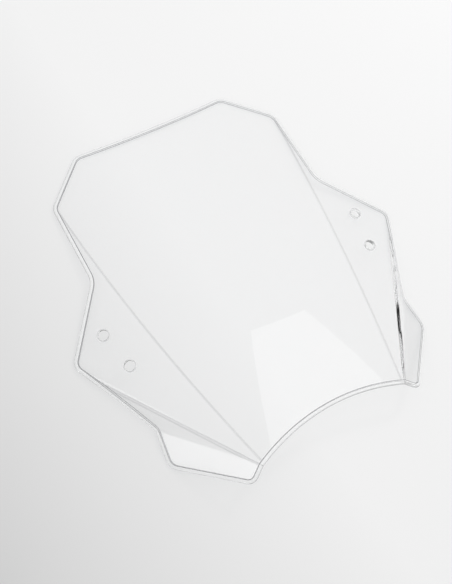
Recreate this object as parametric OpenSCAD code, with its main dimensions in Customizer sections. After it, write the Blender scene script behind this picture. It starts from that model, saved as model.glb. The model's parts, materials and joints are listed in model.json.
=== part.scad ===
// Clear windshield screen for a naked motorcycle: one moulded acrylic sheet.
// The sheet lies crown up on its ears, skirt corners and top corners, as it
// would on a bench. +Z is up, +Y runs from the headlight arc to the top edge,
// and the mirror plane is X = 0. The origin is the middle of the footprint.

/* [Overall size] */
// Width across the two ear tips
overall_width = 360; // [300:1:432]
// Length from the feet to the top corners
overall_length = 362; // [302:1:435]
// Thickness of the sheet
sheet_thickness = 4; // [3:0.1:5]
// Width of the rounded band along every edge
edge_band = 4.4; // [3:0.1:5.5]

/* [Top of the outline] */
// Width of the top edge between its corners
top_width = 167; // [134:1:200]
// Hollow of the top edge at its middle
top_hollow = 3.4; // [0:0.1:8]
// Width across the shoulders
shoulder_width = 256; // [220:1:300]
// Drop from the top corners to the shoulders
shoulder_drop = 42.5; // [34:0.5:51]
// Depth of the waist notches, in from the ear tips
waist_depth = 51; // [36:1:66]
// Distance of the waist notches above the feet
waist_y = 236; // [206:0.5:260]

/* [Ears and skirts] */
// Distance of the ear tips above the feet
ear_y = 170.5; // [150:0.5:196]
// Depth of the lower notches, in from the ear tips
lower_notch_depth = 37.5; // [25:0.5:45]
// Distance of the lower notches above the feet
lower_notch_y = 84; // [72:0.5:100]
// Distance of the skirt corners in from the ear tips
skirt_inset = 33.5; // [22:0.5:42]
// Distance of the skirt corners above the feet
skirt_y = 50; // [40:0.5:60]
// Width across the feet beside the headlight arc
foot_width = 183.5; // [175:0.5:200]

/* [Headlight arc] */
// Chord of the headlight arc
arc_chord = 155.5; // [136:0.5:165]
// Distance of the arc ends above the feet
arc_end_y = 11; // [8:0.5:14]
// Rise of the arc above its chord
arc_rise = 16; // [12:0.5:24]

/* [Corner radii] */
// Radius of the top corners
top_radius = 15; // [10:0.5:20]
// Radius of the shoulders
shoulder_radius = 14; // [10:0.5:18]
// Radius of the waist notches
waist_radius = 20; // [14:0.5:26]
// Radius of the ear tips
ear_radius = 13; // [10:0.5:17]
// Radius of the lower notches
lower_notch_radius = 10; // [6:0.5:14]
// Radius of the skirt corners
skirt_radius = 14; // [10:0.5:18]
// Radius of the feet
foot_radius = 9; // [7:0.5:10]

/* [Heights of the flat outer face over the rest plane] */
// Middle of the panel at the headlight arc
crest_height = 38.5; // [32:0.5:46]
// Middle of the top edge
top_height = 6; // [4:0.1:12]
// Meeting point of the folds beside the arc
fold_height = 34.3; // [28:0.1:40]
// Waist notches
waist_height = 10; // [5:0.1:14]
// Ear tips
ear_height = 4; // [3:0.1:8]
// Lower notches
lower_notch_height = 7.2; // [5:0.1:12]
// Skirt corners
skirt_height = 4; // [3:0.1:8]

/* [Folds] */
// Bow of the main fold away from a straight line
fold_bow = 5.6; // [0:0.1:9]
// Distance of the main fold's lower end inside the arc end
fold_inset = 3; // [2:0.1:8]
// Half width of the soft main fold at the shoulders
fold_softness = 9; // [2:0.5:12]
// Where the second fold runs out, as a share of the lower ear edge
second_fold_share = 0.26; // [0.2:0.01:0.4]
// Half angle of the second and third bends seen from their meeting point
bend_half_angle = 0.9; // [0.5:0.05:1.4]

/* [Mounting holes] */
// Diameter of the four mounting holes
hole_diameter = 10; // [8:0.1:12]
// Spacing of the two holes in one ear, measured along the sheet
hole_spacing = 38; // [30:0.5:45]
// Distance of the lower holes in from the ear tips
lower_hole_inset = 45; // [33:0.5:54]
// Distance of the lower hole above the feet
lower_hole_y = 146.5; // [130:0.5:160]
// Angle of the line through the two holes, from the Y axis
hole_line_angle = 11.5; // [0:0.5:20]

/* [Hidden] */

// The third bend is this much wider than the second one.
third_bend_ratio = 1.8;
// Rows of the panel and the wing crowd towards the shoulder when this is above 1.
row_spacing = 0.9;

t = sheet_thickness;
edge = edge_band;

// Corners of the right half of the outline, seen from above.
TOP = [top_width / 2, overall_length];
SHOULDER = [shoulder_width / 2, overall_length - shoulder_drop];
EAR = [overall_width / 2, ear_y];
WAIST = [EAR[0] - waist_depth, waist_y];
LOWER = [EAR[0] - lower_notch_depth, lower_notch_y];
SKIRT = [EAR[0] - skirt_inset, skirt_y];
FOOT = [foot_width / 2, 0];
END = [arc_chord / 2, arc_end_y];

// The top edge and the headlight arc are circles through their end corners.
top_r = (pow(TOP[0], 2) + pow(top_hollow, 2)) / (2 * max(top_hollow, 0.01));
top_cy = TOP[1] - top_hollow + top_r;
arc_r = (pow(END[0], 2) + pow(arc_rise, 2)) / (2 * arc_rise);
arc_cy = END[1] + arc_rise - arc_r;
function top_y(x) = top_cy - sqrt(top_r * top_r - x * x);
function arc_y(x) = arc_cy + sqrt(arc_r * arc_r - x * x);

function unit(v) = v / norm(v);
function mix(a, b, u) = a + (b - a) * u;
// Travelling clockwise round the outline, the outside is on the left.
function left(v) = [-v[1], v[0]];
function cross2(a, b) = a[0] * b[1] - a[1] * b[0];

// One rounded corner as points with their outward direction: [x, y, nx, ny].
function corner(a, b, c, r, n) =
  let (u = unit(b - a), v = unit(c - b), s = sign(cross2(u, v)),
       turn = abs(atan2(cross2(u, v), u * v)), cut = r * tan(turn / 2),
       start = b - u * cut, m0 = left(u), centre = start + m0 * s * r)
  [for (i = [0:n])
    let (a1 = s * turn * i / n,
         m = [m0[0] * cos(a1) - m0[1] * sin(a1), m0[0] * sin(a1) + m0[1] * cos(a1)])
    concat(centre - m * s * r, m)];

// Points along a straight edge between two rounded corners, ends left out.
function edge_points(p, q, n) =
  [for (i = [1:n - 1])
    let (a = [p[0], p[1]], b = [q[0], q[1]])
    concat(mix(a, b, i / n), left(unit(b - a)))];

function last(l) = l[len(l) - 1];
// Slides a point with its outward direction inwards by the edge radius.
function inset(p) = [p[0] - p[2] * edge, p[1] - p[3] * edge, p[2], p[3]];

top_slope = [sqrt(1 - pow(TOP[0] / top_r, 2)), TOP[0] / top_r];
arc_slope = [sqrt(1 - pow(END[0] / arc_r, 2)), -END[0] / arc_r];
c_top = corner(TOP - top_slope, TOP, SHOULDER, top_radius, 5);
c_shoulder = corner(TOP, SHOULDER, WAIST, shoulder_radius, 4);
c_waist = corner(SHOULDER, WAIST, EAR, waist_radius, 8);
c_ear = corner(WAIST, EAR, LOWER, ear_radius, 6);
c_lower = corner(EAR, LOWER, SKIRT, lower_notch_radius, 8);
c_skirt = corner(LOWER, SKIRT, FOOT, skirt_radius, 7);
c_foot = corner(SKIRT, FOOT, END, foot_radius, 8);

// The folds meet at the inset corner of the arc end.
end_dir = unit(-unit(FOOT - END) - arc_slope);
end_out = left(end_dir);
APEX = END - end_out * edge;

// Where a corner of the flat face lies, inside the rounded band.
function flat_corner(a, b, c) =
  let (u = left(unit(b - a)), v = left(unit(c - b)))
  b - (u + v) * edge / (1 + u * v);
WAIST_F = flat_corner(SHOULDER, WAIST, EAR);
EAR_F = flat_corner(WAIST, EAR, LOWER);
LOWER_F = flat_corner(EAR, LOWER, SKIRT);
SKIRT_F = flat_corner(LOWER, SKIRT, FOOT);

// Plane through the apex and two more points, kept as its two slopes.
function slopes(p, zp, q, zq) =
  let (a = p - APEX, b = q - APEX, za = zp - fold_height, zb = zq - fold_height,
       d = cross2(a, b))
  [(za * b[1] - zb * a[1]) / d, (a[0] * zb - b[0] * za) / d];
function on_plane(g, x, y) = fold_height + g[0] * (x - APEX[0]) + g[1] * (y - APEX[1]);

wing = slopes(WAIST_F, waist_height, EAR_F, ear_height);
FOLD2 = mix(EAR_F, LOWER_F, second_fold_share);
strip = slopes(FOLD2, on_plane(wing, FOLD2[0], FOLD2[1]), LOWER_F, lower_notch_height);
skirt = slopes(LOWER_F, lower_notch_height, SKIRT_F, skirt_height);

// The second and third bends are narrow cones about their fold lines, and
// they stay within a quarter of the strip between them.
function plan_angle(p) = atan2(p[1] - APEX[1], p[0] - APEX[0]);
bend = min(bend_half_angle, (plan_angle(FOLD2) - plan_angle(LOWER_F)) / 4);
soft2 = norm(wing - strip) * sin(bend);
soft3 = norm(skirt - strip) * sin(bend * third_bend_ratio);

// Points on the inset lower ear edge, spread over the end of the second fold.
ear_edge = unit(LOWER - EAR);
ear_out = left(ear_edge);
fold2_spread = second_fold_share * norm(LOWER_F - EAR_F) / 2;
function by_fold2(u) = concat(FOLD2 + ear_edge * fold2_spread * u, ear_out);

// Right half of the inset outline, in clockwise order.
top_run = concat(
  [for (i = [0:5]) let (x = i / 6 * c_top[0][0])
    inset([x, top_y(x), -x / top_r, sqrt(1 - pow(x / top_r, 2))])],
  [for (p = c_top) inset(p)],
  [for (p = edge_points(last(c_top), c_shoulder[0], 2)) inset(p)],
  [for (p = c_shoulder) inset(p)]);
wing_run = concat(
  [for (p = edge_points(last(c_shoulder), c_waist[0], 7)) inset(p)],
  [for (p = c_waist) inset(p)],
  [for (p = edge_points(last(c_waist), c_ear[0], 3)) inset(p)],
  [for (p = c_ear) inset(p)],
  [by_fold2(-1)]);
fan_run = concat(
  [for (j = [-1:2]) by_fold2(j / 2)],
  [for (p = c_lower) inset(p)],
  [for (p = c_skirt) inset(p)],
  [for (p = edge_points(last(c_skirt), c_foot[0], 2)) inset(p)],
  [for (p = c_foot) inset(p)]);

// Main fold: from the arc to the shoulder, bowed outwards in the middle.
nk = len(top_run) - 1;
nm = len(wing_run);
tip = last(top_run);
fold_x = END[0] - fold_inset;
share = [for (p = top_run) p[0] / tip[0]];
arc_run = [for (u = share) let (x = fold_x * u, o = [-x / arc_r, -sqrt(1 - pow(x / arc_r, 2))])
  [x + x / arc_r * edge, arc_y(x) - o[1] * edge, x / arc_r * -1, o[1]]];
foot_of_fold = last(arc_run);
function fold_v(y) = (y - tip[1]) / (foot_of_fold[1] - tip[1]);
function fold_at(y) = let (v = fold_v(y)) mix(tip[0], foot_of_fold[0], v) + 4 * fold_bow * v * (1 - v);

// Height of the outer face.
spine_slope = (top_height - crest_height) / (top_y(0) - arc_y(0) - 2 * edge);
function spine(y) = crest_height + spine_slope * (y - arc_y(0) - edge);
function panel(x, y) = let (f = fold_at(y), z = spine(y)) z - (z - on_plane(wing, f, y)) * pow(x / f, 2);
function smooth_min(a, b, k) = min(a, b) - (k > 0 ? pow(max(k - abs(a - b), 0), 2) / (4 * k) : 0);
function smooth_ramp(a, k) = max(a, 0) + (k > 0 ? pow(max(k - abs(a), 0), 2) / (4 * k) : 0);
function face_z(x, y) =
  let (r = norm([x, y] - APEX), f = fold_at(y),
       jump = max(-wing[0] - 2 * (spine(y) - on_plane(wing, f, y)) / f, 0.01),
       soft1 = jump * fold_softness * max(0, min(1, 1 - fold_v(y))),
       s = on_plane(strip, x, y))
  smooth_min(smooth_min(panel(x, y), on_plane(wing, x, y), soft1), s, soft2 * r)
    + smooth_ramp(on_plane(skirt, x, y) - s, soft3 * r);

function slope_normal(x, y) =
  let (e = 0.02, dx = (face_z(x + e, y) - face_z(x - e, y)) / (2 * e),
       dy = (face_z(x, y + e) - face_z(x, y - e)) / (2 * e))
  unit([-dx, -dy, 1]);
function plane_normal(g) = unit([-g[0], -g[1], 1]);
apex_normal = unit(plane_normal(wing) + plane_normal(strip) + plane_normal(skirt)
    + slope_normal(fold_x, arc_y(fold_x)));

// Vertices of the right half: panel grid, wing columns, fan, apex.
// Each is [x, y, z, nx, ny, nz].
function vertex(p) = concat([p[0], p[1], face_z(p[0], p[1])], slope_normal(p[0], p[1]));
cols = [0.05, 0.12, 0.22, 0.5, 1];
nc = len(cols);
nf = len(fan_run);
half = concat(
  [for (i = [0:nm], k = [0:nk])
    let (v = i == 0 ? 0 : (i == nm ? 1 : fold_v(mix(tip[1], foot_of_fold[1], pow(i / nm, row_spacing)))),
         a = [top_run[k][0], top_run[k][1]], b = [arc_run[k][0], arc_run[k][1]],
         bow = 4 * fold_bow * v * (1 - v) * pow(share[k], 2))
    vertex(mix(a, b, v) + [bow, 0])],
  [for (i = [1:nm], c = [0:nc - 1])
    let (v = i == nm ? 1 : fold_v(mix(tip[1], foot_of_fold[1], pow(i / nm, row_spacing))),
         y = mix(tip[1], foot_of_fold[1], v), o = wing_run[i - 1])
    vertex(mix([fold_at(y), y], [o[0], o[1]], cols[c]))],
  [for (p = fan_run) vertex(p)],
  [concat([APEX[0], APEX[1], fold_height], apex_normal)]);
nh = len(half);
w0 = (nm + 1) * (nk + 1);
f0 = w0 + nm * nc;
a0 = f0 + nf;
function p_id(k, i) = i * (nk + 1) + k;
function w_id(c, i) = c == 0 ? p_id(nk, i) : w0 + (i - 1) * nc + c - 1;

half_faces = concat(
  [for (i = [0:nm - 1], k = [0:nk - 1], s = [0, 1])
    s == 0 ? [p_id(k, i), p_id(k + 1, i), p_id(k + 1, i + 1)] : [p_id(k, i), p_id(k + 1, i + 1), p_id(k, i + 1)]],
  [for (c = [0:nc - 1]) [p_id(nk, 0), w_id(c + 1, 1), w_id(c, 1)]],
  [for (i = [1:nm - 1], c = [0:nc - 1], s = [0, 1])
    s == 0 ? [w_id(c, i), w_id(c + 1, i), w_id(c + 1, i + 1)] : [w_id(c, i), w_id(c + 1, i + 1), w_id(c, i + 1)]],
  [for (c = [0:nc - 1]) [a0, w_id(c, nm), w_id(c + 1, nm)]],
  [[a0, w_id(nc, nm), f0]],
  [for (j = [0:nf - 2]) [a0, f0 + j, f0 + j + 1]]);

// Clockwise ring of the right half with its outward directions.
ring_ids = concat([for (k = [0:nk]) p_id(k, 0)], [for (i = [1:nm]) w_id(nc, i)],
                  [for (j = [0:nf - 1]) f0 + j], [a0], [for (k = [nk:-1:0]) p_id(k, nm)]);
ring_out = concat([for (p = top_run) [p[2], p[3]]], [for (p = wing_run) [p[2], p[3]]],
                  [for (p = fan_run) [p[2], p[3]]], [end_out],
                  [for (k = [nk:-1:0]) let (p = arc_run[k]) [-sign(p[0]) * abs(p[2]), p[3]]]);
nr = len(ring_ids);

// Both halves: vertices on the mirror plane are shared.
function twin(i) = (i < w0 && i % (nk + 1) == 0) ? i : i + nh;
function flip3(v) = [-v[0], v[1], v[2]];
function at(i) = i < nh ? [half[i][0], half[i][1], half[i][2]] : flip3([for (j = [0:2]) half[i - nh][j]]);
function nrm(i) = i < nh ? [for (j = [3:5]) half[i][j]] : flip3([for (j = [3:5]) half[i - nh][j]]);
ring = concat(ring_ids, [for (i = [nr - 2:-1:1]) twin(ring_ids[i])]);
out = concat(ring_out, [for (i = [nr - 2:-1:1]) [-ring_out[i][0], ring_out[i][1]]]);
nring = len(ring);
steps = 6;

outer = [for (i = [0:2 * nh - 1]) at(i)];
inner = [for (i = [0:2 * nh - 1]) at(i) - nrm(i) * t];
rim = [for (i = [0:nring - 1], l = [1:steps - 1])
  let (n = nrm(ring[i]), m = concat(out[i], 0), m3 = unit(m - n * (m * n)), a = 180 * l / steps)
  at(ring[i]) - n * t / 2 + n * cos(a) * t / 2 + m3 * sin(a) * edge];
points = concat(outer, inner, rim);
function layer(i, l) = l == 0 ? ring[i % nring]
    : (l == steps ? ring[i % nring] + 2 * nh : 4 * nh + (i % nring) * (steps - 1) + l - 1);

faces = concat(
  half_faces,
  [for (f = half_faces) [twin(f[0]), twin(f[2]), twin(f[1])]],
  [for (f = half_faces) [f[0] + 2 * nh, f[2] + 2 * nh, f[1] + 2 * nh]],
  [for (f = half_faces) [twin(f[0]) + 2 * nh, twin(f[1]) + 2 * nh, twin(f[2]) + 2 * nh]],
  [for (i = [0:nring - 1], l = [0:steps - 1], s = [0, 1])
    s == 0 ? [layer(i + 1, l), layer(i, l), layer(i, l + 1)] : [layer(i + 1, l), layer(i, l + 1), layer(i + 1, l + 1)]]);

// Middle of the footprint and the rest plane.
y_mid = (max([for (p = rim) p[1]]) + min([for (p = rim) p[1]])) / 2;
z_low = min(min([for (p = rim) p[2]]), min([for (i = [0:nring - 1]) inner[ring[i]][2]]));
shift = [0, -y_mid, -z_low];

// Mounting holes run square through the ears.
ear_normal = plane_normal(wing);
hole_dir = let (d = [sin(hole_line_angle), cos(hole_line_angle)])
  unit([d[0], d[1], wing[0] * d[0] + wing[1] * d[1]]);
low_x = EAR[0] - lower_hole_inset;
low_hole = [low_x, lower_hole_y, on_plane(wing, low_x, lower_hole_y)];
holes = [low_hole, low_hole + hole_dir * hole_spacing];

module hole(p, side) {
  n = [side * ear_normal[0], ear_normal[1], ear_normal[2]];
  q = [side * p[0], p[1], p[2]] + shift - n * t / 2;
  translate(q) rotate([0, acos(n[2]), atan2(n[1], n[0])])
    cylinder(h = 3 * t, d = hole_diameter, center = true, $fn = 64);
}

module screen() {
  color([0.86, 0.9, 0.92, 0.35])
  difference() {
    translate(shift) polyhedron(points = points, faces = faces, convexity = 8);
    for (p = holes, side = [-1, 1]) hole(p, side);
  }
}

screen();
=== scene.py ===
"""A clear moulded windshield screen, lying crown up on a pale studio floor.

Everything is in metres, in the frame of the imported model: +Z up, +Y from the
headlight arc to the top edge, and X = 0 the mirror plane.
"""

import json
import math

import bmesh
import bpy
import numpy as np
from bpy.props import FloatProperty, FloatVectorProperty, IntProperty, PointerProperty
from mathutils import Matrix, Vector


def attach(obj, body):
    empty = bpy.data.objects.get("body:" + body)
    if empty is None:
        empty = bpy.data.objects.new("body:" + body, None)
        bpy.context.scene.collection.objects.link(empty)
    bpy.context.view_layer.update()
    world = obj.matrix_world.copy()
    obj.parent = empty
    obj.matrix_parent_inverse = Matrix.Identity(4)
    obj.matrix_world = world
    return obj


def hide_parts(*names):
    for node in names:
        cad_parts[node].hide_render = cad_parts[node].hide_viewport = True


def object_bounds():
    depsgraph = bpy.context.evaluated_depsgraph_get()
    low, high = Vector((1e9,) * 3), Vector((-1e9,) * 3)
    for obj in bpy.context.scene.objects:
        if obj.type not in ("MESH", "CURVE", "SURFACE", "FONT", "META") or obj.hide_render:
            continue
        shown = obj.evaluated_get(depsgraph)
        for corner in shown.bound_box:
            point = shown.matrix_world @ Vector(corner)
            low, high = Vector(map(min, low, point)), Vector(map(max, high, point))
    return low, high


bl_info = {
    "name": "Windshield Screen",
    "version": (1, 0, 0),
    "blender": (4, 5, 0),
    "location": "3D View > Sidebar > Screen",
    "description": "Builds a clear windshield screen and the stage it lies on",
    "category": "Object",
}

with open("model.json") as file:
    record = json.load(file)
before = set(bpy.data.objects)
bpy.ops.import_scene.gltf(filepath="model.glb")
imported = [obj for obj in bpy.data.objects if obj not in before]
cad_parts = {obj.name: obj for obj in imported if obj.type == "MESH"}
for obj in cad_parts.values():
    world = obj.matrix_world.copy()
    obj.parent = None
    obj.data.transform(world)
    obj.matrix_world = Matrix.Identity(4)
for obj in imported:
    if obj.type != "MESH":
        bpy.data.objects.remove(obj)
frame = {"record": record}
CAD_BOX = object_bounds()
MM = 0.001
# Below this the blends and the meeting point of the folds are taken as sharp.
TOUCH = 1e-7


def length(name, description, millimetres):
    """A length property whose default is written in millimetres."""
    return FloatProperty(
        name=name, description=description, default=millimetres * MM, unit="LENGTH", precision=4
    )


def share(name, description, value):
    """A plain number from 0 to 1."""
    return FloatProperty(name=name, description=description, default=value, min=0, max=1)


def angle(name, description, degrees):
    """An angle property whose default is written in degrees."""
    return FloatProperty(
        name=name, description=description, default=math.radians(degrees), subtype="ANGLE"
    )


def colour(name, description, *value):
    """A colour property."""
    return FloatVectorProperty(
        name=name, description=description, default=value, subtype="COLOR", min=0, max=1
    )


def place(name, description, *metres):
    """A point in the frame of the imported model."""
    return FloatVectorProperty(
        name=name, description=description, default=metres, subtype="TRANSLATION", unit="LENGTH"
    )


# ---------------------------------------------------------------- settings


class SheetSize(bpy.types.PropertyGroup):
    """Sizes of the moulded sheet. Distances along Y are counted from the feet."""

    overall_width: length("Overall width", "Across the two ear tips", 360)
    overall_length: length("Overall length", "From the feet to the top corners", 362)
    thickness: length("Thickness", "Thickness of the sheet", 4)
    edge_band: length("Edge band", "Width of the rounded band along every edge", 4.4)
    top_width: length("Top width", "Top edge between its corners", 167)
    top_hollow: length("Top hollow", "Hollow of the top edge at its middle", 3.4)
    shoulder_width: length("Shoulder width", "Across the shoulders", 256)
    shoulder_drop: length("Shoulder drop", "From the top corners to the shoulders", 42.5)
    waist_depth: length("Waist depth", "Waist notches, in from the ear tips", 51)
    waist_y: length("Waist place", "Waist notches above the feet", 236)
    ear_y: length("Ear place", "Ear tips above the feet", 170.5)
    lower_notch_depth: length("Lower notch depth", "In from the ear tips", 37.5)
    lower_notch_y: length("Lower notch place", "Lower notches above the feet", 84)
    skirt_inset: length("Skirt inset", "Skirt corners, in from the ear tips", 33.5)
    skirt_y: length("Skirt place", "Skirt corners above the feet", 50)
    foot_width: length("Foot width", "Across the feet beside the arc", 183.5)
    arc_chord: length("Arc chord", "Chord of the headlight arc", 155.5)
    arc_end_y: length("Arc end place", "Arc ends above the feet", 11)
    arc_rise: length("Arc rise", "Rise of the arc above its chord", 16)
    top_radius: length("Top radius", "Radius of the top corners", 15)
    shoulder_radius: length("Shoulder radius", "Radius of the shoulders", 14)
    waist_radius: length("Waist radius", "Radius of the waist notches", 20)
    ear_radius: length("Ear radius", "Radius of the ear tips", 13)
    lower_notch_radius: length("Lower notch radius", "Radius of the lower notches", 10)
    skirt_radius: length("Skirt radius", "Radius of the skirt corners", 14)
    foot_radius: length("Foot radius", "Radius of the feet", 9)
    crest_height: length("Crest height", "Middle of the panel at the arc", 38.5)
    top_height: length("Top height", "Middle of the top edge", 6)
    fold_height: length("Fold height", "Where the folds meet beside the arc", 34.3)
    waist_height: length("Waist height", "Waist notches", 10)
    ear_height: length("Ear height", "Ear tips", 4)
    lower_notch_height: length("Lower notch height", "Lower notches", 7.2)
    skirt_height: length("Skirt height", "Skirt corners", 4)
    fold_bow: length("Fold bow", "Bow of the main fold away from a straight line", 5.6)
    fold_inset: length("Fold inset", "Main fold's lower end inside the arc end", 3)
    fold_softness: length("Fold softness", "Half width of the soft main fold", 6)
    second_fold_share: share("Second fold", "Where it runs out along the lower ear edge", 0.26)
    bend_half_angle: angle("Bend half angle", "Half angle of the second and third bends", 1.3)
    third_bend_ratio: FloatProperty(
        name="Third bend ratio", description="The third bend's half angle over the second's", default=1.8
    )
    bend_spread: length("Bend spread", "How far a bend spreads on the hollow side", 5)
    hole_round: length("Hole rounding", "Rounding of the rims of the holes", 0.4)
    hole_collar: length("Hole collar", "Flat ring of faces round the rims of the holes", 0.6)
    row_spacing: share("Row spacing", "Evenness of the mesh's rows down the main fold", 0.9)
    column_spacing: FloatProperty(
        name="Column spacing", description="How much columns crowd towards the folds", default=1.5
    )
    detail: IntProperty(name="Detail", description="How finely curves are cut", default=4, min=1)


class SheetFinish(bpy.types.PropertyGroup):
    """Colour and polish of the clear acrylic."""

    tint: colour("Tint", "What one face lets through", 0.997, 0.998, 0.998)
    edge_tint: colour("Edge tint", "The cut edge", 0.99, 0.993, 0.994)
    shadow_tint: colour("Shadow tint", "Light that falls through the sheet", 0.985, 0.986, 0.987)
    edge_shadow: colour("Edge shadow", "Light that falls through the cut edge", 0.88, 0.885, 0.89)
    refraction: FloatProperty(name="Refraction", description="Index of refraction", default=1.49)
    polish: share("Polish", "Roughness of the moulded faces", 0.012)
    haze: share("Haze", "Extra roughness in faint wiping marks", 0.03)
    edge_roughness: share("Edge roughness", "Roughness of the polished cut edge", 0.05)
    wave: length("Wave", "Height of the slow waves of moulding", 0.05)
    edge_marks: length("Edge marks", "Depth of the polishing marks on the edge", 0.006)
    edge_clear: share("Edge clearness", "How much of the cut edge's light passes through it", 0.56)
    # Painted shade: these three settings place, size and colour the thin dark lines painted along the
    # edge where it meets the faces.
    edge_line_place: share("Edge line place", "0 at the faces, 1 at the outermost edge", 0.1)
    edge_line_width: share("Edge line width", "On the same scale", 0.07)
    painted_edge_shade: colour("Edge line", "The dark lines where the edge meets the faces", 0.14, 0.14, 0.15)
    # Crease settings: the depth sets the bump, the width and the three strengths set both the bump and
    # the painted shade along the folds, and the colour is that painted shade.
    crease_depth: length("Crease depth", "Depth of the moulded crease along a fold", 0.05)
    crease_width: length("Crease width", "Half width of that crease", 0.6)
    main_crease: share("Main crease", "Strength of the crease along the main fold", 0.8)
    second_crease: share("Second crease", "Strength of the crease along the second fold", 1)
    third_crease: share("Third crease", "Strength of the crease along the third fold", 0.2)
    painted_crease_shade: colour("Crease colour", "Inside of a crease", 0.66, 0.66, 0.67)


class StageLook(bpy.types.PropertyGroup):
    """The floor, the lights and the camera."""

    floor_size: length("Floor size", "Side of the square floor", 9000)
    floor_colour: colour("Floor colour", "Pale seamless paper", 0.915, 0.915, 0.915)
    # Painted shade: the floor's colour darkens towards the left to stand in for the lights' fall-off; the
    # settings below place that painted shade.
    painted_floor_shade: colour("Floor shade", "The paper where it curls away on the left", 0.565, 0.565, 0.565)
    shade_start: length("Shade start", "X where the paper's shade starts to lighten", -350)
    shade_reach: length("Shade reach", "How far it takes to lighten", 1000 / 3)
    shade_turn: share("Shade turn", "How much Y counts for that against X", 0.1)
    shade_curve: share("Shade curve", "Lower values lighten sooner", 0.6)
    shade_clouds: share("Shade clouds", "Strength of faint clouds in the shade", 0.05)
    sky: colour("Sky", "Soft light from above", 0.96, 0.96, 0.96)
    horizon: colour("Horizon", "Dim light from the sides of the room", 0.36, 0.36, 0.36)
    key_place: place("Key light", "Middle of the main light", 1.2, 0.5, 1.25)
    key_size: length("Key size", "Side of the main light", 300)
    key_power: FloatProperty(name="Key power", description="Watts", default=6.5, unit="POWER")
    side_place: place("Side light", "Middle of the softbox on the left", -1.1, -0.12, 1.1)
    side_size: length("Side size", "Side of the softbox on the left", 600)
    side_power: FloatProperty(name="Side power", description="Watts", default=1.3, unit="POWER")
    panel_height: length("Light panel height", "Height of the panel that the crown mirrors", 1200)
    panel_near_y: length("Light panel near edge", "Its Y", -30)
    panel_near_left: length("Near edge left end", "Its X", -100)
    panel_near_right: length("Near edge right end", "Its X", 1050)
    panel_far_y: length("Light panel far edge", "Its Y", 375)
    panel_far_left: length("Far edge left end", "Its X", 300)
    panel_far_right: length("Far edge right end", "Its X", 660)
    panel_glow: FloatProperty(name="Light panel glow", description="Its brightness", default=1.6)
    aim: place("Aim", "Point that the camera looks at", -0.0168, -0.0108, 0.0)
    distance: length("Camera distance", "From the camera to its aim", 772.3)
    azimuth: angle("Camera azimuth", "Turn round the screen", -55.17)
    elevation: angle("Camera elevation", "Height above the floor", 68.42)
    roll: angle("Camera roll", "Turn about the line of sight", 27.02)
    lens: FloatProperty(name="Lens", description="Focal length", default=49.3, unit="CAMERA")


# ------------------------------------------------------------ shader maths


class Value:
    """A socket of a node tree that takes part in Python arithmetic."""

    def __init__(self, tree, socket):
        self.tree = tree
        self.socket = socket

    def math(self, operation, *values):
        """A Math node on these values or numbers."""
        node = self.tree.nodes.new("ShaderNodeMath")
        node.operation = operation
        for slot, value in zip(node.inputs, values):
            put(self.tree, slot, value)
        return Value(self.tree, node.outputs[0])

    def __add__(self, other):
        return self.math("ADD", self, other)

    __radd__ = __add__

    def __mul__(self, other):
        return self.math("MULTIPLY", self, other)

    __rmul__ = __mul__

    def __sub__(self, other):
        return self.math("SUBTRACT", self, other)

    def __rsub__(self, other):
        return self.math("SUBTRACT", other, self)

    def __pow__(self, other):
        return self.math("POWER", self, other)

    def hump(self, width, middle=0.0):
        """1 at the middle, falling smoothly to 0 beyond about two widths of it."""
        away = (self - middle) * (1 / width)
        return self.math("EXPONENT", away * away * -1)

    def highest(self, other):
        """The larger of this value and another."""
        return self.math("MAXIMUM", self, other)


def put(tree, slot, value):
    """Links a value to a node's input, or sets the input to a plain number, colour or vector."""
    if isinstance(value, Value):
        tree.links.new(value.socket, slot)
    elif hasattr(slot.default_value, "__len__"):
        numbers = list(value)
        slot.default_value = numbers + [1.0] * (len(slot.default_value) - len(numbers))
    else:
        slot.default_value = value


class Tree:
    """A node tree of a material or a world, written node by node."""

    def __init__(self, owner):
        owner.use_nodes = True
        self.tree = owner.node_tree
        self.tree.nodes.clear()

    def node(self, kind, settings=None, inputs=None, output=0):
        """Adds one node: its settings first, then its sockets. Returns one output."""
        node = self.tree.nodes.new("ShaderNode" + kind)
        for name, value in (settings or {}).items():
            if name == "stops":
                for stop, (position, shade) in zip(node.color_ramp.elements, value):
                    stop.position = position
                    stop.color = (*shade, 1)
            else:
                setattr(node, name, value)
        for name, value in (inputs or {}).items():
            put(self.tree, node.inputs[name], value)
        return Value(self.tree, node.outputs[output]) if node.outputs else None

    def stored(self, name):
        """A number that the mesh stores at each of its points."""
        return self.node("Attribute", {"attribute_name": name}, output="Fac")

    def blend(self, amount, first, second):
        """The first colour where the amount is 0, the second where it is 1."""
        return self.node(
            "Mix", {"data_type": "RGBA"}, {"Factor": amount, 6: first, 7: second}, output=2
        )

    def noise(self, scale, detail=3.0, roughness=0.5, stretch=(1, 1, 1)):
        """Noise in the object's own metres, one bump each 1 / scale metres."""
        where = self.node("TexCoord", output="Object")
        spread = self.node("Mapping", inputs={"Vector": where, "Scale": stretch})
        return self.node(
            "TexNoise",
            inputs={"Vector": spread, "Scale": scale, "Detail": detail, "Roughness": roughness},
        )


# --------------------------------------------------------------- materials


def clear_plastic(name, finish, clearness, shadow, tint_of, roughness_of, bump_of):
    """Clear acrylic: it refracts what is behind it, and lamps shine through it."""
    material = bpy.data.materials.new(name)
    tree = Tree(material)
    plastic = tree.node(
        "BsdfPrincipled",
        inputs={
            "Base Color": tint_of(tree),
            "Roughness": roughness_of(tree),
            "IOR": finish.refraction,
            "Transmission Weight": clearness,
            "Normal": bump_of(tree),
        },
    )
    clear = tree.node("BsdfTransparent", inputs={"Color": shadow})
    lamp = tree.node("LightPath", output="Is Shadow Ray")
    bounce = tree.node("LightPath", output="Is Diffuse Ray")
    both = tree.node("MixShader", inputs={0: lamp.highest(bounce), 1: plastic, 2: clear})
    tree.node("OutputMaterial", inputs={"Surface": both})
    material.use_backface_culling = False
    return material


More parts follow.
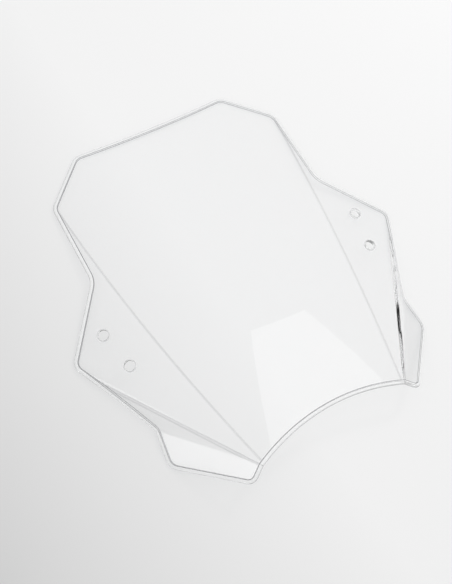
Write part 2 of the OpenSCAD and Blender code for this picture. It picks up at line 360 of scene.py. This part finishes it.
def face_material(finish):
    """The moulded faces: polished, with slow waves, wiping marks, crease bumps at the folds and painted
    shade along them.
    """

    # How strongly a point lies on a fold; it feeds both the crease bump and the painted shade along the
    # folds.
    def crease_bump_and_shade(tree):
        main = tree.stored("main_fold").hump(finish.crease_width)
        second = tree.stored("second_fold").hump(finish.crease_width)
        third = tree.stored("third_fold").hump(finish.crease_width)
        lower = second * finish.second_crease + third * finish.third_crease
        return main * finish.main_crease + lower

    def tint(tree):
        # Painted shade: the faces' colour darkens along the folds.
        return tree.blend(crease_bump_and_shade(tree), tuple(finish.tint), tuple(finish.painted_crease_shade))

    def roughness(tree):
        marks = tree.noise(26, detail=4.0, roughness=0.6, stretch=(1, 0.35, 1))
        return finish.polish + finish.haze * marks ** 4

    def bump(tree):
        waves = tree.noise(9, detail=1.0, roughness=0.4) * finish.wave
        height = waves - crease_bump_and_shade(tree) * finish.crease_depth
        return tree.node("Bump", inputs={"Height": height, "Distance": 1.0, "Strength": 1.0})

    return clear_plastic(
        "clear_acrylic_face", finish, 1.0, finish.shadow_tint, tint, roughness, bump
    )


def edge_material(finish):
    """The polished edge: a bright core between two thin dark lines of painted shade, with fine marks."""

    def tint(tree):
        # Painted shade: thin dark lines painted into the edge's colour near the faces.
        line = tree.stored("rim").hump(finish.edge_line_width, finish.edge_line_place)
        return tree.blend(line, tuple(finish.edge_tint), tuple(finish.painted_edge_shade))

    def roughness(tree):
        return finish.edge_roughness * (0.6 + 0.8 * tree.noise(400, roughness=0.6))

    def bump(tree):
        marks = tree.noise(260, roughness=0.6)
        return tree.node(
            "Bump", inputs={"Height": marks, "Distance": finish.edge_marks, "Strength": 0.6}
        )

    return clear_plastic(
        "clear_acrylic_edge", finish, finish.edge_clear, finish.edge_shadow, tint, roughness, bump
    )


def floor_material(look):
    """Seamless paper: matt, with faint fibres, and a painted shade that darkens it towards the left, with
    faint clouds in that painted shade.
    """
    material = bpy.data.materials.new("paper_floor")
    tree = Tree(material)
    where = tree.node("TexCoord", output="Object")
    across = tree.node("SeparateXYZ", inputs={"Vector": where}, output="X")
    along = tree.node("SeparateXYZ", inputs={"Vector": where}, output="Y")
    clouds = look.shade_clouds * tree.noise(3, detail=2.0)
    reach = (across + along * look.shade_turn - look.shade_start) * (1 / look.shade_reach) + clouds
    fibre = tree.noise(900, detail=2.0, roughness=0.6)
    # Painted shade: the base colour runs from the painted shade on the left to the paper's own colour on
    # the right.
    shade = tree.node(
        "ValToRGB",
        {"stops": [(0.0, tuple(look.painted_floor_shade)), (1.0, tuple(look.floor_colour))]},
        {"Fac": reach.highest(0) ** look.shade_curve},
    )
    bump = tree.node("Bump", inputs={"Height": fibre, "Distance": 0.05 * MM, "Strength": 0.3})
    paper = tree.node(
        "BsdfPrincipled",
        inputs={"Base Color": shade, "Roughness": 0.75 + 0.2 * fibre, "Normal": bump},
    )
    tree.node("OutputMaterial", inputs={"Surface": paper})
    return material


def sky_world(scene, look):
    """A room that is bright overhead and dimmer towards its walls."""
    world = bpy.data.worlds.new("studio_room")
    scene.world = world
    tree = Tree(world)
    where = tree.node("TexCoord", output="Generated")
    up = tree.node("SeparateXYZ", inputs={"Vector": where}, output="Z")
    shade = tree.node(
        "ValToRGB",
        {"stops": [(0.15, tuple(look.horizon)), (0.8, tuple(look.sky))]},
        {"Fac": up},
    )
    light = tree.node("Background", inputs={"Color": shade, "Strength": 1.0})
    tree.node("OutputWorld", inputs={"Surface": light})


# ------------------------------------------------------- shape of the sheet


def unit(vector):
    """The vector at length 1, or each row of an array."""
    return vector / np.linalg.norm(vector, axis=-1, keepdims=True)


def left(vector):
    """A quarter turn left: outwards, when going clockwise round the outline."""
    return np.array([-vector[1], vector[0]])


def cross2(a, b):
    """Cross product of two plane vectors."""
    return a[0] * b[1] - a[1] * b[0]


def mix(a, b, amount):
    """A share of the way from a to b."""
    return a + (b - a) * amount


def corner(before, at, after, radius, count):
    """A rounded corner as rows of place and outward direction: x, y, nx, ny."""
    into, onward = unit(at - before), unit(after - at)
    turn = math.atan2(cross2(into, onward), into @ onward)
    side = math.copysign(1.0, turn)
    out = left(into)
    centre = at - into * radius * math.tan(abs(turn) / 2) + out * side * radius
    rows = []
    for step in range(count + 1):
        a = turn * step / count
        m = np.array(
            [out[0] * math.cos(a) - out[1] * math.sin(a), out[0] * math.sin(a) + out[1] * math.cos(a)]
        )
        rows.append([*(centre - m * side * radius), *m])
    return np.array(rows)


def edge_points(start, end, count):
    """Rows along a straight edge between two rounded corners, its ends left out."""
    a, b = start[:2], end[:2]
    out = left(unit(b - a))
    return np.array([[*mix(a, b, step / count), *out] for step in range(1, count)])


def smooth_min(a, b, reach):
    """The lower of two heights, blended where they differ by less than reach."""
    blend = np.maximum(reach - np.abs(a - b), 0) ** 2
    return np.minimum(a, b) - blend / (4 * np.maximum(reach, TOUCH))


def smooth_ramp(a, reach):
    """a where it is above 0, and 0 below, blended within reach."""
    blend = np.maximum(reach - np.abs(a), 0) ** 2
    return np.maximum(a, 0) + blend / (4 * np.maximum(reach, TOUCH))


class SheetShape:
    """The outer face as heights over the rest plane, and the outline of its right half."""

    def __init__(self, size):
        self.size = size
        self.edge = size.edge_band
        self.corners()
        self.circles()
        self.planes()
        self.runs()

    def corners(self):
        """Corners of the right half of the outline, seen from above."""
        s = self.size
        self.top = np.array([s.top_width / 2, s.overall_length])
        self.shoulder = np.array([s.shoulder_width / 2, s.overall_length - s.shoulder_drop])
        self.ear = np.array([s.overall_width / 2, s.ear_y])
        self.waist = np.array([self.ear[0] - s.waist_depth, s.waist_y])
        self.lower = np.array([self.ear[0] - s.lower_notch_depth, s.lower_notch_y])
        self.skirt_corner = np.array([self.ear[0] - s.skirt_inset, s.skirt_y])
        self.foot = np.array([s.foot_width / 2, 0.0])
        self.end = np.array([s.arc_chord / 2, s.arc_end_y])

    def circles(self):
        """The top edge and the headlight arc are circles through their end corners."""
        s = self.size
        self.top_r = (self.top[0] ** 2 + s.top_hollow**2) / (2 * s.top_hollow)
        self.top_centre = self.top[1] - s.top_hollow + self.top_r
        self.arc_r = (self.end[0] ** 2 + s.arc_rise**2) / (2 * s.arc_rise)
        self.arc_centre = self.end[1] + s.arc_rise - self.arc_r

    def top_y(self, x):
        """The top edge."""
        return self.top_centre - np.sqrt(self.top_r**2 - x**2)

    def arc_y(self, x):
        """The headlight arc."""
        return self.arc_centre + np.sqrt(self.arc_r**2 - x**2)

    def flat_corner(self, before, at, after):
        """Where a corner of the flat face lies, inside the rounded band."""
        u, v = left(unit(at - before)), left(unit(after - at))
        return at - (u + v) * self.edge / (1 + u @ v)

    def slopes(self, p, zp, q, zq):
        """The plane through the apex of the folds and two more points, as its two slopes."""
        a, b = p - self.apex, q - self.apex
        za, zb = zp - self.size.fold_height, zq - self.size.fold_height
        return np.array([za * b[1] - zb * a[1], a[0] * zb - b[0] * za]) / cross2(a, b)

    def on_plane(self, slopes, x, y):
        """Height of such a plane."""
        return self.size.fold_height + slopes[0] * (x - self.apex[0]) + slopes[1] * (y - self.apex[1])

    def planes(self):
        """The flat wing, the strip under it and the skirt, which meet at the apex."""
        s = self.size
        x = self.end[0] / self.arc_r
        arc_slope = np.array([math.sqrt(1 - x * x), -x])
        self.end_out = left(unit(-unit(self.foot - self.end) - arc_slope))
        self.apex = self.end - self.end_out * self.edge
        waist = self.flat_corner(self.shoulder, self.waist, self.ear)
        ear = self.flat_corner(self.waist, self.ear, self.lower)
        lower = self.lower_flat = self.flat_corner(self.ear, self.lower, self.skirt_corner)
        skirt = self.flat_corner(self.lower, self.skirt_corner, self.foot)
        self.wing = self.slopes(waist, s.waist_height, ear, s.ear_height)
        self.fold2 = mix(ear, lower, s.second_fold_share)
        self.fold2_spread = s.second_fold_share * np.linalg.norm(lower - ear) / 2
        on_wing = self.on_plane(self.wing, *self.fold2)
        self.strip = self.slopes(self.fold2, on_wing, lower, s.lower_notch_height)
        self.skirt = self.slopes(lower, s.lower_notch_height, skirt, s.skirt_height)
        turns = [math.atan2(*(p - self.apex)[::-1]) for p in (self.fold2, lower)]
        bend = min(s.bend_half_angle, (turns[0] - turns[1]) / 4)
        self.soft2 = np.linalg.norm(self.wing - self.strip) * math.sin(bend)
        self.soft3 = np.linalg.norm(self.skirt - self.strip) * math.sin(bend * s.third_bend_ratio)

    def by_fold2(self, spread):
        """A point on the flat face's lower ear edge, beside the end of the second fold."""
        along = unit(self.lower - self.ear)
        return np.array([*(self.fold2 + along * self.fold2_spread * spread), *left(along)])

    def inset(self, rows):
        """Slides rows inwards by the width of the rounded band."""
        return np.column_stack([rows[:, :2] - rows[:, 2:] * self.edge, rows[:, 2:]])

    def runs(self):
        """The four stretches of the flat face's outline, clockwise, and the main fold."""
        s, n = self.size, self.size.detail
        slope = unit(np.array([math.sqrt(1 - (self.top[0] / self.top_r) ** 2), self.top[0] / self.top_r]))
        top = corner(self.top - slope, self.top, self.shoulder, s.top_radius, 3 * n)
        shoulder = corner(self.top, self.shoulder, self.waist, s.shoulder_radius, 3 * n)
        waist = corner(self.shoulder, self.waist, self.ear, s.waist_radius, 5 * n)
        ear = corner(self.waist, self.ear, self.lower, s.ear_radius, 4 * n)
        lower = corner(self.ear, self.lower, self.skirt_corner, s.lower_notch_radius, 5 * n)
        skirt = corner(self.lower, self.skirt_corner, self.foot, s.skirt_radius, 4 * n)
        foot = corner(self.skirt_corner, self.foot, self.end, s.foot_radius, 4 * n)
        xs = top[0, 0] * np.arange(5 * n) / (5 * n)
        crown = np.column_stack(
            [xs, self.top_y(xs), -xs / self.top_r, np.sqrt(1 - (xs / self.top_r) ** 2)]
        )
        self.top_run = self.inset(
            np.vstack([crown, top, edge_points(top[-1], shoulder[0], 3 * n), shoulder])
        )
        last = self.by_fold2(-1)
        ear_in = self.inset(ear)
        self.wing_run = np.vstack(
            [
                self.inset(edge_points(shoulder[-1], waist[0], 7 * n)),
                self.inset(waist),
                self.inset(edge_points(waist[-1], ear[0], 5 * n)),
                ear_in,
                edge_points(ear_in[-1], last, 3 * n),
                [last],
            ]
        )
        rays = [self.by_fold2(2 * k / (5 * n) - 1) for k in range(1, 5 * n + 1)]
        lower_in = self.inset(lower)
        self.fan_run = np.vstack(
            [
                rays,
                edge_points(rays[-1], lower_in[0], 3 * n),
                lower_in,
                self.inset(edge_points(lower[-1], skirt[0], 2 * n)),
                self.inset(skirt),
                self.inset(edge_points(skirt[-1], foot[0], 4 * n)),
                self.inset(foot),
            ]
        )
        self.tip = self.top_run[-1]
        across = self.top_run[:, 0] / self.tip[0]
        x = (self.end[0] - s.fold_inset) * across
        nx, ny = -x / self.arc_r, -np.sqrt(1 - (x / self.arc_r) ** 2)
        self.arc_run = np.column_stack([x - nx * self.edge, self.arc_y(x) - ny * self.edge, nx, ny])
        self.fold_foot = self.arc_run[-1]
        self.across = across

    def fold_v(self, y):
        """Share of the way down the main fold, from the shoulder to the arc."""
        return (y - self.tip[1]) / (self.fold_foot[1] - self.tip[1])

    def bow(self, v):
        """Bow of the main fold away from a straight line."""
        return 4 * self.size.fold_bow * v * (1 - v)

    def height(self, x, y):
        """Height of the outer face over any point of the plan."""
        s = self.size
        rise = s.top_height - s.crest_height
        spine = s.crest_height + rise * (y - self.arc_y(0) - self.edge) / (
            self.top_y(0) - self.arc_y(0) - 2 * self.edge
        )
        v = self.fold_v(y)
        fold = mix(self.tip[0], self.fold_foot[0], v) + self.bow(v)
        drop = spine - self.on_plane(self.wing, fold, y)
        panel = spine - drop * (x / fold) ** 2
        jump = np.maximum(-self.wing[0] - 2 * drop / fold, 0.01)
        soft = jump * s.fold_softness * np.clip(1 - v, 0, 1)
        reach = np.hypot(x - self.apex[0], y - self.apex[1])
        strip = self.on_plane(self.strip, x, y)
        face = smooth_min(panel, self.on_plane(self.wing, x, y), soft)
        face = smooth_min(face, strip, self.soft2 * reach)
        face = face + smooth_ramp(self.on_plane(self.skirt, x, y) - strip, self.soft3 * reach)
        return np.where(reach < TOUCH, s.fold_height, face)

    def gaps(self, x, y):
        """Signed distances in plan from the main, the second and the third fold."""
        fold = mix(self.tip[0], self.fold_foot[0], self.fold_v(y)) + self.bow(self.fold_v(y))
        along = unit(self.fold_foot[:2] - self.tip[:2])
        found = [(x - fold) * abs(along[1])]
        for far in (self.fold2, self.lower_flat):
            along = unit(far - self.apex)
            found.append(along[0] * (y - self.apex[1]) - along[1] * (x - self.apex[0]))
        return found

    def normal(self, x, y, step):
        """Unit normal of the outer face, from its slope over a step each way."""
        dx = (self.height(x + step, y) - self.height(x - step, y)) / (2 * step)
        dy = (self.height(x, y + step) - self.height(x, y - step)) / (2 * step)
        return unit(np.stack([-dx, -dy, np.ones_like(dx)], axis=-1))


def sheet_grids(shape):
    """Rows of plan points that cover the right half: panel, wing, sliver and fan."""
    wing, fan = shape.wing_run[:, :2], shape.fan_run[:, :2]
    steps = np.linalg.norm(np.diff(wing, axis=0, prepend=[shape.tip[:2]]), axis=1)
    v = np.concatenate([[0.0], np.cumsum(steps) / steps.sum()]) ** shape.size.row_spacing
    v[-1] = 1.0
    top, arc = shape.top_run[:, :2], shape.arc_run[:, :2]
    panel = mix(top[None], arc[None], v[:, None, None])
    panel[:, :, 0] += shape.bow(v)[:, None] * shape.across[None] ** 2
    columns = np.linspace(0, 1, 6 * shape.size.detail + 1) ** shape.size.column_spacing
    fold = panel[1:, -1]
    wings = mix(fold[:, None], wing[:, None], columns[None, :, None])
    wings = np.concatenate([np.broadcast_to(shape.tip[:2], wings[:1].shape), wings])
    ray = mix(shape.apex[None], wing[-1][None], columns[:, None])
    turn = np.linspace(0, 1, shape.size.detail + 1)[:, None, None]
    sliver = mix(wings[-1][None], ray[None], turn)
    rim = np.vstack([wing[-1:], fan])
    fans = mix(shape.apex[None, None], rim[:, None], columns[None, :, None])
    return panel, wings, sliver, fans, columns


def ring_rows(shape, columns):
    """The right half's outline with outward directions, clockwise from the top middle."""
    last = shape.fan_run[-1]
    back = columns[-2:0:-1]
    foot_edge = np.column_stack(
        [mix(shape.apex[None], last[None, :2], back[:, None]), np.tile(last[2:], (len(back), 1))]
    )
    arc = shape.arc_run[-1]
    turn = np.linspace(0, 1, shape.size.detail + 1)[:-1, None]
    place_in = mix(shape.apex[None], arc[None, :2], turn)
    out = unit(mix(shape.end_out[None], arc[None, 2:], turn))
    return np.vstack(
        [
            shape.top_run,
            shape.wing_run,
            shape.fan_run,
            foot_edge,
            np.column_stack([place_in, out]),
            shape.arc_run[::-1],
        ]
    )


class MeshMaker:
    """Collects grids of points, their mirror images and their material numbers."""

    def __init__(self):
        self.points, self.faces, self.slots, self.rims = [], [], [], []
        self.count = 0

    def grid(self, rows, slot=0, rim=0.0):
        """Adds a grid of points of shape (rows, columns, 3) and its mirror image."""
        for side in (1, -1):
            height, width = rows.shape[:2]
            self.points.append(rows.reshape(-1, 3) * [side, 1, 1])
            self.rims.append(np.broadcast_to(rim, (height, width)).ravel())
            ids = self.count + np.arange(height * width).reshape(height, width)
            quads = np.stack([ids[:-1, :-1], ids[:-1, 1:], ids[1:, 1:], ids[1:, :-1]], axis=-1)
            quads = quads.reshape(-1, 4)
            self.faces.append(quads if side > 0 else quads[:, ::-1])
            self.slots += [slot] * len(quads)
            self.count += height * width

    def bmesh(self):
        """One welded mesh of everything that was added."""
        mesh = bmesh.new()
        layer = mesh.verts.layers.float.new("rim")
        verts = [mesh.verts.new(p) for p in np.vstack(self.points)]
        for vert, rim in zip(verts, np.concatenate(self.rims)):
            vert[layer] = rim
        for quad, slot in zip(np.vstack(self.faces), self.slots):
            face = mesh.faces.new([verts[i] for i in quad])
            face.material_index = slot
        bmesh.ops.remove_doubles(mesh, verts=mesh.verts, dist=0.004 * MM)
        bmesh.ops.dissolve_degenerate(mesh, edges=mesh.edges, dist=0.002 * MM)
        return mesh


def sheet_bmesh(shape):
    """The closed sheet without its holes, as points counted from the feet."""
    size, maker = shape.size, MeshMaker()
    *grids, columns = sheet_grids(shape)
    for plan in grids:
        x, y = plan[..., 0], plan[..., 1]
        outer = np.stack([x, y, shape.height(x, y)], axis=-1)
        inner = outer - shape.normal(x, y, size.bend_spread) * size.thickness
        maker.grid(outer)
        maker.grid(inner[:, ::-1])
    ring = ring_rows(shape, columns)
    x, y = ring[:, 0], ring[:, 1]
    flat = np.stack([x, y, shape.height(x, y)], axis=-1)
    normal = shape.normal(x, y, size.bend_spread)
    out = np.column_stack([ring[:, 2:], np.zeros(len(ring))])
    out = unit(out - normal * np.sum(out * normal, axis=1, keepdims=True))
    turns = np.linspace(0, np.pi, 4 * size.detail + 1)[None, :, None]
    half = size.thickness / 2
    band = flat[:, None] - normal[:, None] * half * (1 - np.cos(turns))
    band = band + out[:, None] * np.sin(turns) * size.edge_band
    maker.grid(band[:, ::-1], slot=1, rim=np.sin(turns[None, 0, ::-1, 0]))
    return maker.bmesh()


def drill(mesh, centre, axis, radius, thickness, rounding, collar):
    """Cuts one round hole with softly rounded rims square through the sheet."""
    sides, rounds = 64, 6
    # Faces go when their middle is nearer than the first, or a corner than the second.
    clear, close = radius + 3.2 * MM, radius + 2 * MM
    near = []
    for face in mesh.faces:
        arms = [vert.co - centre for vert in face.verts]
        if any(abs(arm.dot(axis)) > thickness for arm in arms):
            continue
        nearest = min((arm - axis * arm.dot(axis)).length for arm in arms)
        middle = face.calc_center_median() - centre
        if nearest < close or (middle - axis * middle.dot(axis)).length < clear:
            near.append(face)
    bmesh.ops.delete(mesh, geom=near, context="FACES")
    across, layer = axis.orthogonal().normalized(), mesh.verts.layers.float["rim"]
    turn = Matrix.Rotation(2 * math.pi / sides, 3, axis)
    profile = [(radius + rounding + collar, thickness / 2)]
    for step in range(rounds + 1):
        a = math.pi / 2 * step / rounds
        down = thickness / 2 - rounding * (1 - math.cos(a))
        profile.append((radius + rounding * (1 - math.sin(a)), down))
    profile += [(r, -z) for r, z in reversed(profile)]
    rings = []
    for r, z in profile:
        spoke, ring = across.copy(), []
        for _ in range(sides):
            ring.append(mesh.verts.new(centre + spoke * r + axis * z))
            ring[-1][layer] = 1 - (2 * abs(z) / thickness) ** 4
            spoke = turn @ spoke
        rings.append(ring)
    for upper, lower in zip(rings, rings[1:]):
        for i in range(sides):
            j = (i + 1) % sides
            wall = mesh.faces.new((upper[i], upper[j], lower[j], lower[i]))
            wall.material_index = 1
    open_edges = [e for e in mesh.edges if e.is_boundary]
    for side in (1, -1):
        loop = [e for e in open_edges if (e.verts[0].co - centre).dot(axis) * side > 0]
        made = bmesh.ops.bridge_loops(mesh, edges=loop)
        if not made["faces"]:
            raise RuntimeError("a hole could not be joined to the sheet")
        for face in made["faces"]:
            face.material_index = 0


def fit_to_frame(mesh):
    """Moves the sheet from the feet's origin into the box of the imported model."""
    points = np.array([v.co for v in mesh.verts])
    lo, hi = points.min(0), points.max(0)
    want_lo, want_hi = np.array(CAD_BOX[0]), np.array(CAD_BOX[1])
    grow = np.minimum((want_hi - want_lo) / (hi - lo), 1.0)
    shift = (want_lo + want_hi) / 2 - (lo + hi) / 2 * grow
    for vert, point in zip(mesh.verts, points * grow + shift):
        vert.co = point
    return grow, shift


def mark_folds(mesh, shape, grow, shift):
    """Stores at every point its distances from the three folds of its half."""
    points = (np.array([v.co for v in mesh.verts]) - shift) / grow
    gaps = shape.gaps(np.abs(points[:, 0]), points[:, 1])
    for name, gap in zip(("main_fold", "second_fold", "third_fold"), gaps):
        layer = mesh.verts.layers.float.new(name)
        for vert, value in zip(mesh.verts, gap):
            vert[layer] = value


# ---------------------------------------------------------------- operators


class SCREEN_OT_sheet(bpy.types.Operator):
    """Build the clear moulded sheet with its folds, rounded edges and four holes"""

    bl_idname = "screen.sheet"
    bl_label = "Moulded Sheet"

    def execute(self, context):
        size, finish = context.scene.screen_size, context.scene.screen_finish
        shape = SheetShape(size)
        mesh = sheet_bmesh(shape)
        grow, shift = fit_to_frame(mesh)
        for mount in frame["record"]["mounts"]:
            axis = Vector(mount["axis"]).normalized()
            drill(
                mesh,
                Vector(mount["pos_m"]),
                axis,
                mount["dims"]["r_mm"] * MM,
                mount["dims"]["length_mm"] * MM,
                size.hole_round,
                size.hole_collar,
            )
        mark_folds(mesh, shape, grow, shift)
        bmesh.ops.recalc_face_normals(mesh, faces=mesh.faces)
        if any(not edge.is_manifold for edge in mesh.edges):
            raise RuntimeError("the sheet is not closed")
        data = bpy.data.meshes.new("screen_sheet")
        mesh.to_mesh(data)
        mesh.free()
        data.shade_smooth()
        sheet = bpy.data.objects.new("screen_sheet", data)
        context.scene.collection.objects.link(sheet)
        data.materials.append(face_material(finish))
        data.materials.append(edge_material(finish))
        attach(sheet, "root")
        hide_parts("screen")
        return {"FINISHED"}


def area_light(scene, name, spot, aim, size, power):
    """A square lamp that faces a point."""
    lamp = bpy.data.lights.new(name, "AREA")
    lamp.size, lamp.energy = size, power
    holder = bpy.data.objects.new(name, lamp)
    holder.location = spot
    holder.rotation_euler = (Vector(aim) - Vector(spot)).to_track_quat("-Z", "Y").to_euler()
    scene.collection.objects.link(holder)
    return holder


class SCREEN_OT_stage(bpy.types.Operator):
    """Set out the pale floor, the soft lights and the camera"""

    bl_idname = "screen.stage"
    bl_label = "Stage and Camera"

    def execute(self, context):
        scene, look = context.scene, context.scene.screen_stage
        grid = bmesh.new()
        bmesh.ops.create_grid(grid, x_segments=8, y_segments=8, size=look.floor_size / 2)
        data = bpy.data.meshes.new("paper_floor")
        grid.to_mesh(data)
        grid.free()
        floor = bpy.data.objects.new("paper_floor", data)
        floor.location.z = CAD_BOX[0].z - 0.1 * MM
        scene.collection.objects.link(floor)
        data.materials.append(floor_material(look))
        sky_world(scene, look)
        middle = (0, 0, 0)
        key = area_light(scene, "key", look.key_place, middle, look.key_size, look.key_power)
        key.visible_glossy = key.visible_transmission = False
        area_light(scene, "side", look.side_place, middle, look.side_size, look.side_power)
        self.light_panel(scene, look)
        self.camera(scene, look)
        scene.view_settings.view_transform = "Standard"
        return {"FINISHED"}

    def light_panel(self, scene, look):
        """A glowing panel overhead that shows only as its mirror image in the sheet."""
        corners = [
            (look.panel_near_left, look.panel_near_y, look.panel_height),
            (look.panel_near_right, look.panel_near_y, look.panel_height),
            (look.panel_far_right, look.panel_far_y, look.panel_height),
            (look.panel_far_left, look.panel_far_y, look.panel_height),
        ]
        data = bpy.data.meshes.new("light_panel")
        data.from_pydata(corners, [], [(3, 2, 1, 0)])
        panel = bpy.data.objects.new("light_panel", data)
        material = bpy.data.materials.new("light_panel")
        tree = Tree(material)
        glow = tree.node("Emission", inputs={"Color": (1, 1, 1), "Strength": look.panel_glow})
        tree.node("OutputMaterial", inputs={"Surface": glow})
        data.materials.append(material)
        scene.collection.objects.link(panel)
        panel.visible_camera = False
        panel.visible_diffuse = False
        panel.visible_shadow = False

    def camera(self, scene, look):
        """The camera looks down at its aim from an azimuth, an elevation and a distance."""
        a, e = look.azimuth, look.elevation
        back = Vector((math.sin(a) * math.cos(e), -math.cos(a) * math.cos(e), math.sin(e)))
        data = bpy.data.cameras.new("camera")
        data.sensor_width, data.lens = 36, look.lens
        data.clip_start, data.clip_end = 0.01, 50
        camera = bpy.data.objects.new("camera", data)
        camera.location = Vector(look.aim) + back * look.distance
        turn = (-back).to_track_quat("-Z", "Y").to_matrix() @ Matrix.Rotation(look.roll, 3, "Z")
        camera.rotation_euler = turn.to_euler()
        scene.collection.objects.link(camera)
        scene.camera = camera


class SCREEN_PT_panel(bpy.types.Panel):
    """Lists the steps that build the screen"""

    bl_label = "Windshield Screen"
    bl_idname = "SCREEN_PT_panel"
    bl_space_type = "VIEW_3D"
    bl_region_type = "UI"
    bl_category = "Screen"

    def draw(self, context):
        for operator in OPERATORS:
            self.layout.operator(operator.bl_idname)


OPERATORS = (SCREEN_OT_sheet, SCREEN_OT_stage)
SETTINGS = {"screen_size": SheetSize, "screen_finish": SheetFinish, "screen_stage": StageLook}


def register():
    """Registers the classes and hangs the settings on the scene."""
    for cls in (*SETTINGS.values(), *OPERATORS, SCREEN_PT_panel):
        bpy.utils.register_class(cls)
    for name, cls in SETTINGS.items():
        setattr(bpy.types.Scene, name, PointerProperty(type=cls))


def unregister():
    """Takes the settings and the classes away again."""
    for name in SETTINGS:
        delattr(bpy.types.Scene, name)
    for cls in reversed((*SETTINGS.values(), *OPERATORS, SCREEN_PT_panel)):
        bpy.utils.unregister_class(cls)


def main():
    register()
    bpy.ops.screen.sheet()
    bpy.ops.screen.stage()
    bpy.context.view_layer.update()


if __name__ == "__main__":
    main()
